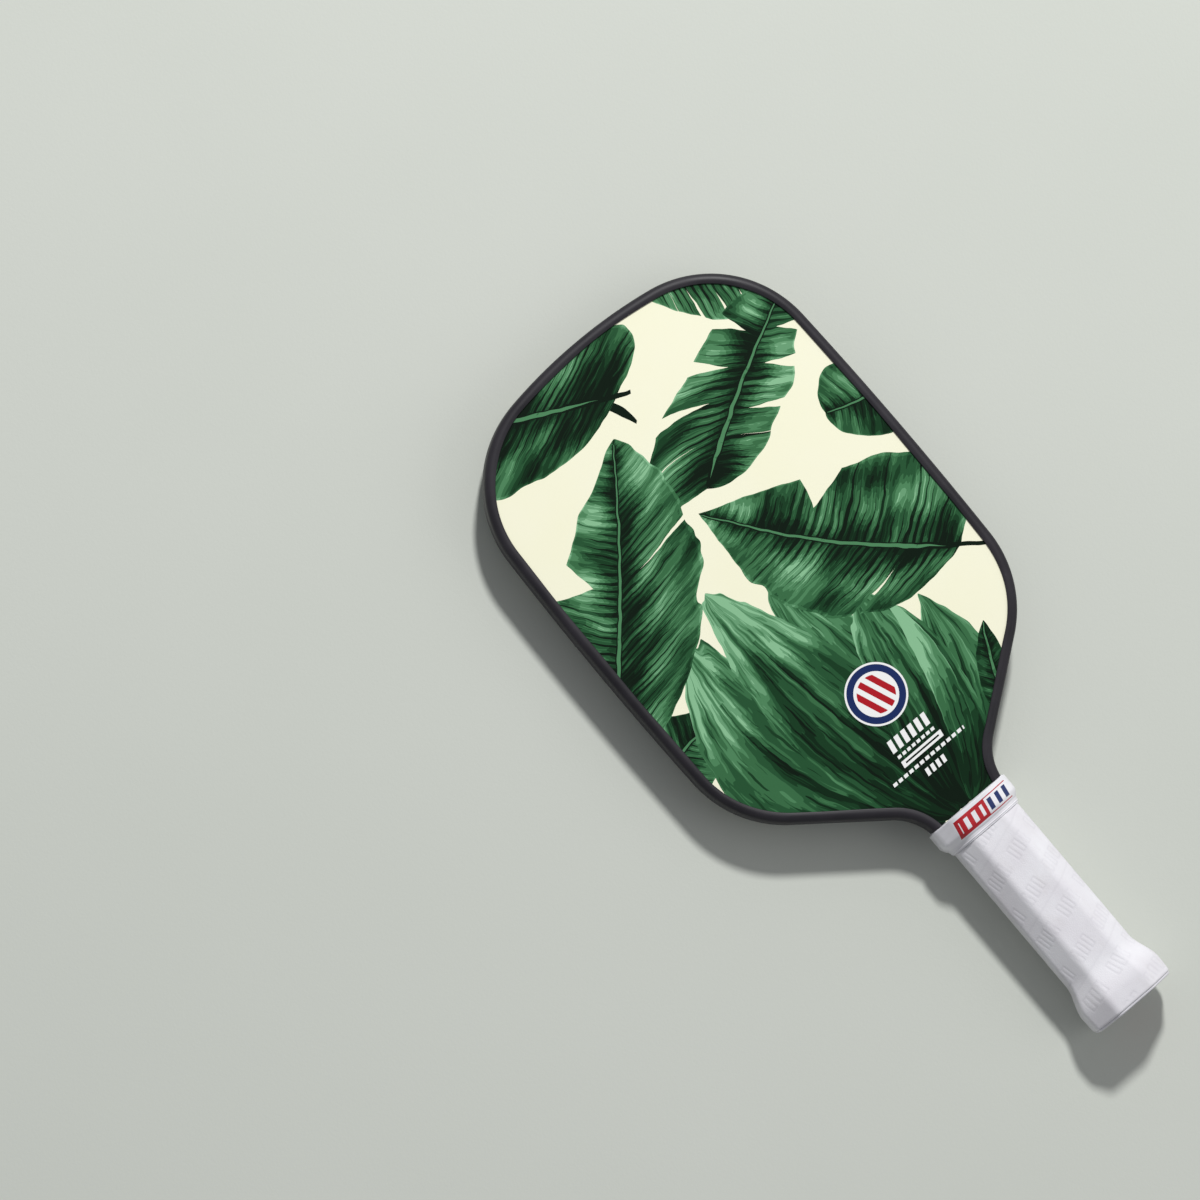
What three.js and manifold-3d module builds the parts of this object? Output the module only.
// A pickleball paddle, built up from its separate pieces. Millimetres, +Z up.
// The paddle lies on its back: X runs across the face, +Y points from the butt to the head, and Z is
// through the thickness. Pieces are drawn with y = 0 at the butt end and z = 0 at mid thickness, and the
// group then moves them so that the origin is under the middle of the whole paddle.
import * as THREE from "three";
import { mergeGeometries, mergeVertices } from "three/addons/utils/BufferGeometryUtils.js";
import Module from "manifold-3d";

const wasm = await Module();
wasm.setup();

// ---------------------------------------------------------------- driving dimensions
const LENGTH = 419; // overall, butt to crown
const HALF_WIDTH = 95.25; // of the head, at its widest
const HANDLE_LENGTH = 126; // butt to the top of the collar
const CLEARANCE = 0.3; // between pieces that sit over one another

// The head's outline: arcs and one straight taper, each tangent to the next. Headings are in degrees.
const NECK_HALF = 21.2;
const THROAT_RADIUS = 27;
const TAPER_HEADING = 37.5;
const SHOULDER_RADIUS = 59.4;
const SIDE_START_HEADING = 88.44;
const SIDE_RADIUS = 2036;
const SIDE_END_HEADING = 92.37;
const CORNER_RADIUS = 60.15;
const CROWN_HEADING = 170.6;
const CHORD_ERROR = 0.12; // how far a facet may stand off an arc

// The laminate, from the middle outwards. Neighbours are a bond line apart.
const BOND = 0.1;
const CORE_HALF = 6;
const SCRIM = 0.2;
const SKIN = 0.5;
const FILM = 0.2;
const SCRIM_Z = CORE_HALF + BOND;
const SKIN_Z = SCRIM_Z + SCRIM + BOND;
const FILM_Z = SKIN_Z + SKIN + BOND;
const CELL_PITCH = 21;
const CELL_WALL = 0.9;

// The edge guard's channel, and the tape that holds it on.
const GUARD_HALF = 8.4;
const GUARD_WALL = 1.4;
const GUARD_LIP = 5.2;
const GUARD_LIP_Z = FILM_Z + FILM + 0.2;
const TAPE_HALF = 5.5;
const TAPE_THICKNESS = 0.6;
const TAPE_INSET = GUARD_WALL + CLEARANCE;
const PANEL_INSET = TAPE_INSET + TAPE_THICKNESS + CLEARANCE;

// The handle: a tongue of the panel between two half shells, under a cushioned wrap.
const TONGUE_HALF = 13;
const TONGUE_END = 8;
const SHELL_START = 3;
const SHELL_END = 116.8;
const GUARD_END = 117.3;
const SHELL_HALF_WIDTH = 17.75;
const SHELL_HALF_HEIGHT = 12.4;
const BEVEL_X = 8.9;
const BEVEL_Z = 7.3;
const BEVEL_GROWTH = 0.6; // per millimetre that the section grows, which keeps walls even
const CORNER_TRIM = 1.2;
const WRAP_THICKNESS = 1.4;
const WRAP_START = 1.3;
const WRAP_END = 116.5;
const STRIP_HALF_WIDTH = 7.5;
const STRIP_THICKNESS = 0.15;

// The flare at the butt, measured outwards from the straight handle.
const FLARE = 4;
const FLARE_TOP = 27;
const FLARE_FULL = 10;
const FLARE_TUCK = 0.5;

// The butt cap, and the plain badge in its end.
const CAP_RIM = 24;
const CAP_FLOOR = 2.2;
const CAP_EDGE = 0.9; // how far the cap's end stands back from the wrap's outside
const SPIGOT_STEP = 1.2; // how much slimmer the shells are inside the cap
const BADGE_RECESS = 0.8;
const BADGE_THICKNESS = 0.5;
const BADGE_HALF_WIDTH = 12;
const BADGE_HALF_HEIGHT = 7.5;

// The rubber collar over the top of the grip, and the printed tape round it.
const COLLAR_START = 110.8;
const COLLAR_HALF_WIDTH = 23.15;
const COLLAR_HALF_HEIGHT = 17.2;
const COLLAR_WALL = 1.8;
const BAND_START = 114;
const BAND_GAP = 0.2;
const BAND_THICKNESS = 0.3;

// ---------------------------------------------------------------- outline of the head
const QUARTER_TURN = Math.PI / 2;
const HALF_TURN = Math.PI;

// The step taken by an arc that turns from one heading to another. A negative radius turns right.
const turn = (from, to, radius) =>
  new THREE.Vector2(
    radius * (Math.sin(to) - Math.sin(from)),
    radius * (Math.cos(from) - Math.cos(to)),
  );

// The right half, from the guard's end at the neck up to the crown. The straight taper's length makes
// up the width, the crown's radius closes the outline on the centre line, and the neck makes up the
// length.
function rightHalf() {
  const [taper, sideStart, sideEnd, crown] = [
    TAPER_HEADING, SIDE_START_HEADING, SIDE_END_HEADING, CROWN_HEADING,
  ].map(THREE.MathUtils.degToRad);
  const lower = [
    [QUARTER_TURN, taper, -THROAT_RADIUS],
    [taper, sideStart, SHOULDER_RADIUS],
    [sideStart, QUARTER_TURN, SIDE_RADIUS],
  ];
  const upper = [
    [QUARTER_TURN, sideEnd, SIDE_RADIUS],
    [sideEnd, crown, CORNER_RADIUS],
  ];
  const total = (arcs, axis) => arcs.reduce((sum, arc) => sum + turn(...arc)[axis], 0);
  const taperRun = HALF_WIDTH - NECK_HALF - total(lower, "x");
  const taperStep = new THREE.Vector2(taperRun, taperRun * Math.tan(taper));
  const crownArc = [crown, HALF_TURN, (HALF_WIDTH + total(upper, "x")) / Math.sin(crown)];
  const rise = total([...lower, ...upper, crownArc], "y") + taperStep.y;

  const at = new THREE.Vector2(NECK_HALF, LENGTH - rise);
  const points = [new THREE.Vector2(NECK_HALF, GUARD_END), at.clone()];
  const follow = ([from, to, radius]) => {
    const facet = 2 * Math.acos(1 - CHORD_ERROR / Math.abs(radius));
    const count = Math.ceil(Math.abs(to - from) / facet);
    for (let i = 1; i <= count; i++) {
      const heading = THREE.MathUtils.lerp(from, to, i / count);
      points.push(at.clone().add(turn(from, heading, radius)));
    }
    at.copy(points.at(-1));
  };
  follow(lower[0]);
  points.push(at.add(taperStep).clone());
  [...lower.slice(1), ...upper, crownArc].forEach(follow);
  points.at(-1).x = 0;
  return points;
}

const RIGHT = rightHalf();
const LEFT = RIGHT.slice(0, -1).reverse().map((p) => new THREE.Vector2(-p.x, p.y));
const OUTLINE = [...RIGHT, ...LEFT];

// The direction into the head at each point of the outline.
const INWARD = OUTLINE.map((p, i) => {
  const before = OUTLINE[Math.max(i - 1, 0)];
  const after = OUTLINE[Math.min(i + 1, OUTLINE.length - 1)];
  const along = after.clone().sub(before).normalize();
  return new THREE.Vector2(-along.y, along.x);
});

const inset = (distance) => OUTLINE.map((p, i) => p.clone().addScaledVector(INWARD[i], distance));

// ---------------------------------------------------------------- shape helpers
// A closed surface through rings that have the same number of points. With a section, which is the
// rings' outline in their own plane, the first and last rings are capped. Without one, the last ring
// joins the first. Rings turn clockwise as seen from the next ring.
function loft(rings, section) {
  const count = rings[0].length;
  const index = [];
  const spans = section ? rings.length - 1 : rings.length;
  for (let r = 0; r < spans; r++) {
    const lower = r * count;
    const upper = ((r + 1) % rings.length) * count;
    for (let i = 0; i < count; i++) {
      const j = (i + 1) % count;
      index.push(lower + i, upper + j, lower + j, lower + i, upper + i, upper + j);
    }
  }
  if (section) {
    const last = (rings.length - 1) * count;
    for (const [a, b, c] of THREE.ShapeUtils.triangulateShape([...section], [])) {
      index.push(a, b, c, last + c, last + b, last + a);
    }
  }
  return new THREE.BufferGeometry().setFromPoints(rings.flat()).setIndex(index);
}

// A section of [distance in from the outline, z], swept round the head from neck to neck.
function sweepRoundHead(section) {
  const rings = OUTLINE.map((p, i) =>
    section.map(([distance, z]) => {
      const at = p.clone().addScaledVector(INWARD[i], distance);
      return new THREE.Vector3(at.x, at.y, z);
    }),
  );
  return loft(rings, section.map(([distance, z]) => new THREE.Vector2(-distance, z)));
}

// An octagon across the handle at height y: flat front, back and sides, bevels between them, and each
// corner trimmed off.
function ring(y, halfWidth, halfHeight, bevelX, bevelZ, trim) {
  const corners = [[1, 1], [-1, 1], [-1, -1], [1, -1]].flatMap(([sideX, sideZ]) => {
    const pair = [
      new THREE.Vector3(sideX * halfWidth, y, sideZ * (halfHeight - bevelZ)),
      new THREE.Vector3(sideX * (halfWidth - bevelX), y, sideZ * halfHeight),
    ];
    return sideX === sideZ ? pair : pair.reverse();
  });
  return corners.flatMap((corner, i) =>
    [corners.at(i - 1), corners[(i + 1) % 8]].map((next) =>
      next.clone().sub(corner).setLength(trim).add(corner),
    ),
  );
}

// The handle's own octagon, grown outwards all round.
const handleRing = (y, grow) =>
  ring(
    y,
    SHELL_HALF_WIDTH + grow,
    SHELL_HALF_HEIGHT + grow,
    BEVEL_X + BEVEL_GROWTH * grow,
    BEVEL_Z + BEVEL_GROWTH * grow,
    CORNER_TRIM,
  );

// Rings across the handle as a tube that closes on itself, or as a solid with flat ends.
const tube = (rings) => loft(rings);
const plug = (rings) => loft(rings, rings[0].map((p) => new THREE.Vector2(p.x, p.z)));

// A flat sheet of the given outline, from z to z + thickness.
function sheet(points, z, thickness) {
  const shape = new THREE.Shape(points);
  const geometry = new THREE.ExtrudeGeometry(shape, { depth: thickness, bevelEnabled: false });
  return geometry.translate(0, 0, z);
}

function solid(geometry) {
  const bare = new THREE.BufferGeometry().setIndex(geometry.index);
  bare.setAttribute("position", geometry.getAttribute("position"));
  const merged = mergeVertices(bare, 1e-4);
  return new wasm.Manifold(
    new wasm.Mesh({
      numProp: 3,
      vertProperties: merged.getAttribute("position").array,
      triVerts: new Uint32Array(merged.index.array),
    }),
  );
}

function fromSolid(made) {
  const mesh = made.getMesh();
  const geometry = new THREE.BufferGeometry();
  geometry.setAttribute("position", new THREE.BufferAttribute(mesh.vertProperties, 3));
  return geometry.setIndex(new THREE.BufferAttribute(mesh.triVerts, 1));
}

// ---------------------------------------------------------------- laminate
// The panel: the head inside the guard, then square shoulders and the tongue inside the handle.
const PANEL = [
  new THREE.Vector2(TONGUE_HALF, TONGUE_END),
  new THREE.Vector2(TONGUE_HALF, GUARD_END),
  ...inset(PANEL_INSET),
  new THREE.Vector2(-TONGUE_HALF, GUARD_END),
  new THREE.Vector2(-TONGUE_HALF, TONGUE_END),
];

// Hexagonal cells on a staggered grid, cut right through the panel wherever they meet it. Loose
// offcuts at the rim are dropped.
function honeycomb() {
  const radius = (CELL_PITCH - CELL_WALL) / Math.sqrt(3);
  const cell = new THREE.CylinderGeometry(radius, radius, 3 * CORE_HALF, 6).rotateX(QUARTER_TURN);
  const rowPitch = CELL_PITCH * Math.cos(Math.PI / 6);
  const columns = Math.ceil(HALF_WIDTH / CELL_PITCH);
  const cells = [];
  for (let row = 0; row * rowPitch < LENGTH + CELL_PITCH; row++) {
    for (let column = -columns; column <= columns; column++) {
      const x = (column + (row % 2) / 2) * CELL_PITCH;
      cells.push(cell.clone().translate(x, row * rowPitch, 0));
    }
  }
  const panel = solid(sheet(PANEL, -CORE_HALF, 2 * CORE_HALF));
  const cut = panel.subtract(solid(mergeGeometries(cells)));
  return fromSolid(cut.decompose().sort((a, b) => b.volume() - a.volume())[0]);
}

// ---------------------------------------------------------------- edge guard
// A channel round the rim. Its back is rounded, and its bead-like lips lie over the faces.
function guardSection() {
  const bead = new THREE.Path();
  bead.moveTo(GUARD_LIP, GUARD_LIP_Z);
  bead.quadraticCurveTo(GUARD_LIP, GUARD_HALF - 0.3, GUARD_LIP - 0.9, GUARD_HALF - 0.2);
  bead.quadraticCurveTo(2.7, GUARD_HALF + 0.2, 1.5, GUARD_HALF - 0.5);
  bead.quadraticCurveTo(0, GUARD_HALF - 1.3, 0, GUARD_HALF - 3.6);
  const upper = bead.getPoints(2).map((p) => [p.x, p.y]);
  const lower = upper.map(([distance, z]) => [distance, -z]);
  return [
    ...lower,
    ...upper.reverse(),
    [GUARD_WALL, GUARD_LIP_Z],
    [GUARD_WALL, -GUARD_LIP_Z],
  ];
}

const TAPE_SECTION = [
  [TAPE_INSET + TAPE_THICKNESS, -TAPE_HALF],
  [TAPE_INSET, -TAPE_HALF],
  [TAPE_INSET, TAPE_HALF],
  [TAPE_INSET + TAPE_THICKNESS, TAPE_HALF],
];

// ---------------------------------------------------------------- handle
// How far the flare stands out from the straight handle at height y.
function flare(y) {
  const tuck = FLARE_TUCK * Math.max(0, 1 - y / FLARE_FULL) ** 2;
  return FLARE * THREE.MathUtils.smoothstep(FLARE_TOP - y, 0, FLARE_TOP - FLARE_FULL) - tuck;
}

// The front half shell: half of the octagon with a slot for the tongue. It is slimmer in the cap.
function handleShell() {
  const spigotEnd = CAP_RIM + CLEARANCE;
  const whole = plug([
    handleRing(SHELL_START, -SPIGOT_STEP),
    handleRing(spigotEnd, -SPIGOT_STEP),
    handleRing(spigotEnd, 0),
    handleRing(SHELL_END, 0),
  ]);
  const slotHalf = FILM_Z + CLEARANCE;
  const slot = new THREE.BoxGeometry(2 * (TONGUE_HALF + CLEARANCE), 3 * SHELL_END, 2 * slotHalf);
  const rear = new THREE.BoxGeometry(LENGTH, LENGTH, LENGTH);
  rear.translate(0, 0, (CLEARANCE - LENGTH) / 2);
  return fromSolid(solid(whole).subtract(solid(slot)).subtract(solid(rear)));
}

// The cushioned wrap as one sleeve. It follows the flare, and thins where the collar covers it.
function gripWrap() {
  const inner = CLEARANCE;
  const outer = CLEARANCE + WRAP_THICKNESS;
  const flared = [4, 7, FLARE_FULL, 13, 16, 19, 22, 25, FLARE_TOP];
  const covered = COLLAR_START - CLEARANCE;
  return tube([
    handleRing(WRAP_START, flare(WRAP_START) + outer - 0.9),
    handleRing(WRAP_START + 0.9, flare(WRAP_START) + outer),
    ...flared.map((y) => handleRing(y, flare(y) + outer)),
    handleRing(covered, outer),
    handleRing(covered + 1, outer - 0.4),
    handleRing(WRAP_END, outer - 0.4),
    handleRing(WRAP_END, inner),
    ...flared.reverse().map((y) => handleRing(y, flare(y) + inner)),
    handleRing(WRAP_START, flare(WRAP_START) + inner),
  ]);
}

const badgeRing = (y, grow) => ring(y, BADGE_HALF_WIDTH + grow, BADGE_HALF_HEIGHT + grow, 4, 4, 1);

// The flared cup on the end of the handle, recessed for its badge.
function buttCap() {
  const end = CLEARANCE + WRAP_THICKNESS + flare(0) - CAP_EDGE;
  const step = WRAP_START - CLEARANCE;
  const cavity = CLEARANCE - SPIGOT_STEP;
  const cup = plug([
    handleRing(0, end - 0.6),
    handleRing(0.5, end),
    handleRing(step, end),
    handleRing(step, flare(step)),
    ...[4, 7, FLARE_FULL, 13, 16, 19, CAP_RIM].map((y) => handleRing(y, flare(y))),
    handleRing(CAP_RIM, cavity),
    handleRing(CAP_FLOOR, cavity),
  ]);
  const recess = plug([badgeRing(-1, CLEARANCE), badgeRing(BADGE_RECESS, CLEARANCE)]);
  return fromSolid(solid(cup).subtract(solid(recess)));
}

function buttBadge() {
  const seat = BADGE_RECESS - BOND;
  return plug([badgeRing(seat - BADGE_THICKNESS, 0), badgeRing(seat, 0)]);
}

// A strip of double-sided tape on the front flat of the handle, under the wrap.
function gripTape() {
  const [start, end] = [FLARE_TOP + 2, COLLAR_START];
  const strip = new THREE.BoxGeometry(2 * STRIP_HALF_WIDTH, end - start, STRIP_THICKNESS);
  return strip.translate(0, (start + end) / 2, SHELL_HALF_HEIGHT + CLEARANCE / 2);
}

// ---------------------------------------------------------------- collar
// The collar's outside, as how far it stands in from its full size at a few heights.
const COLLAR_PROFILE = [
  [COLLAR_START, 2.7],
  [COLLAR_START + 1.6, 2.1],
  [BAND_START, 0.9],
  [BAND_START + 2.5, 0],
  [HANDLE_LENGTH - 0.6, 0],
];
const COLLAR_GROWTH = COLLAR_HALF_WIDTH - SHELL_HALF_WIDTH;
const collarRing = (y, stand) =>
  ring(
    y,
    COLLAR_HALF_WIDTH - stand,
    COLLAR_HALF_HEIGHT - stand,
    BEVEL_X + BEVEL_GROWTH * (COLLAR_GROWTH - stand),
    BEVEL_Z + BEVEL_GROWTH * (COLLAR_GROWTH - stand),
    2 * CORNER_TRIM,
  );

// A rubber ring over the wrap's top end, closed in round the neck at its upper edge.
function gripCollar() {
  const overWrap = 2 * CLEARANCE + WRAP_THICKNESS;
  const wallStart = HANDLE_LENGTH - COLLAR_WALL;
  const neckRing = (y, halfHeight, bevel) =>
    ring(y, NECK_HALF + 0.7, halfHeight, bevel, bevel, 0.5);
  const neckHeight = GUARD_HALF + CLEARANCE;
  const pocketHeight = SHELL_HALF_HEIGHT + overWrap;
  return tube([
    ...COLLAR_PROFILE.map(([y, stand]) => collarRing(y, stand)),
    collarRing(HANDLE_LENGTH, 0.6),
    neckRing(HANDLE_LENGTH, neckHeight, 2),
    neckRing(wallStart, neckHeight, 2),
    neckRing(wallStart, pocketHeight, BEVEL_Z),
    neckRing(GUARD_END - CLEARANCE, pocketHeight, BEVEL_Z),
    handleRing(GUARD_END - CLEARANCE, overWrap),
    handleRing(COLLAR_START, overWrap),
  ]);
}

// The printed finishing tape, one thin turn round the collar.
function finishingBand() {
  const stations = COLLAR_PROFILE.slice(2);
  return tube([
    ...stations.map(([y, stand]) => collarRing(y, stand - BAND_GAP - BAND_THICKNESS)),
    ...stations.reverse().map(([y, stand]) => collarRing(y, stand - BAND_GAP)),
  ]);
}

// ---------------------------------------------------------------- assembly
const material = (color, roughness) =>
  new THREE.MeshStandardMaterial({ color, roughness, metalness: 0 });

const paddle = new THREE.Group();
const butt = CLEARANCE + WRAP_THICKNESS + FLARE;
paddle.position.set(0, -LENGTH / 2, SHELL_HALF_HEIGHT + butt);

function add(name, geometry, color, roughness) {
  const mesh = new THREE.Mesh(geometry, material(color, roughness));
  mesh.name = name;
  paddle.add(mesh);
  return mesh;
}

// A piece in front of the mid plane, and its twin behind it, turned over about the long axis.
function addPair(name, geometry, color, roughness) {
  add(`front_${name}`, geometry, color, roughness);
  add(`back_${name}`, geometry.clone(), color, roughness).rotation.y = HALF_TURN;
}

add("honeycomb_core", honeycomb(), 0xe9ebe6, 0.55);
addPair("core_scrim", sheet(PANEL, SCRIM_Z, SCRIM), 0xf4f4f0, 0.95);
addPair("face_skin", sheet(PANEL, SKIN_Z, SKIN), 0xcfd3bf, 0.35);
addPair("graphic_film", sheet(inset(PANEL_INSET), FILM_Z, FILM), 0xf8f4dc, 0.4);
add("edge_guard", sweepRoundHead(guardSection()), 0x3a363d, 0.45);
add("edge_guard_tape", sweepRoundHead(TAPE_SECTION), 0xe3dcc0, 0.7);
addPair("handle_shell", handleShell(), 0x2a2a2c, 0.6);
addPair("grip_tape", gripTape(), 0xe3dcc0, 0.7);
add("butt_cap", buttCap(), 0xe4e2e4, 0.5);
add("butt_badge", buttBadge(), 0x9b1420, 0.35);
add("grip_wrap", gripWrap(), 0xdcdadd, 0.6);
add("grip_collar", gripCollar(), 0xe6e4e7, 0.5);
add("finishing_band", finishingBand(), 0xeeecef, 0.35);

export default paddle;
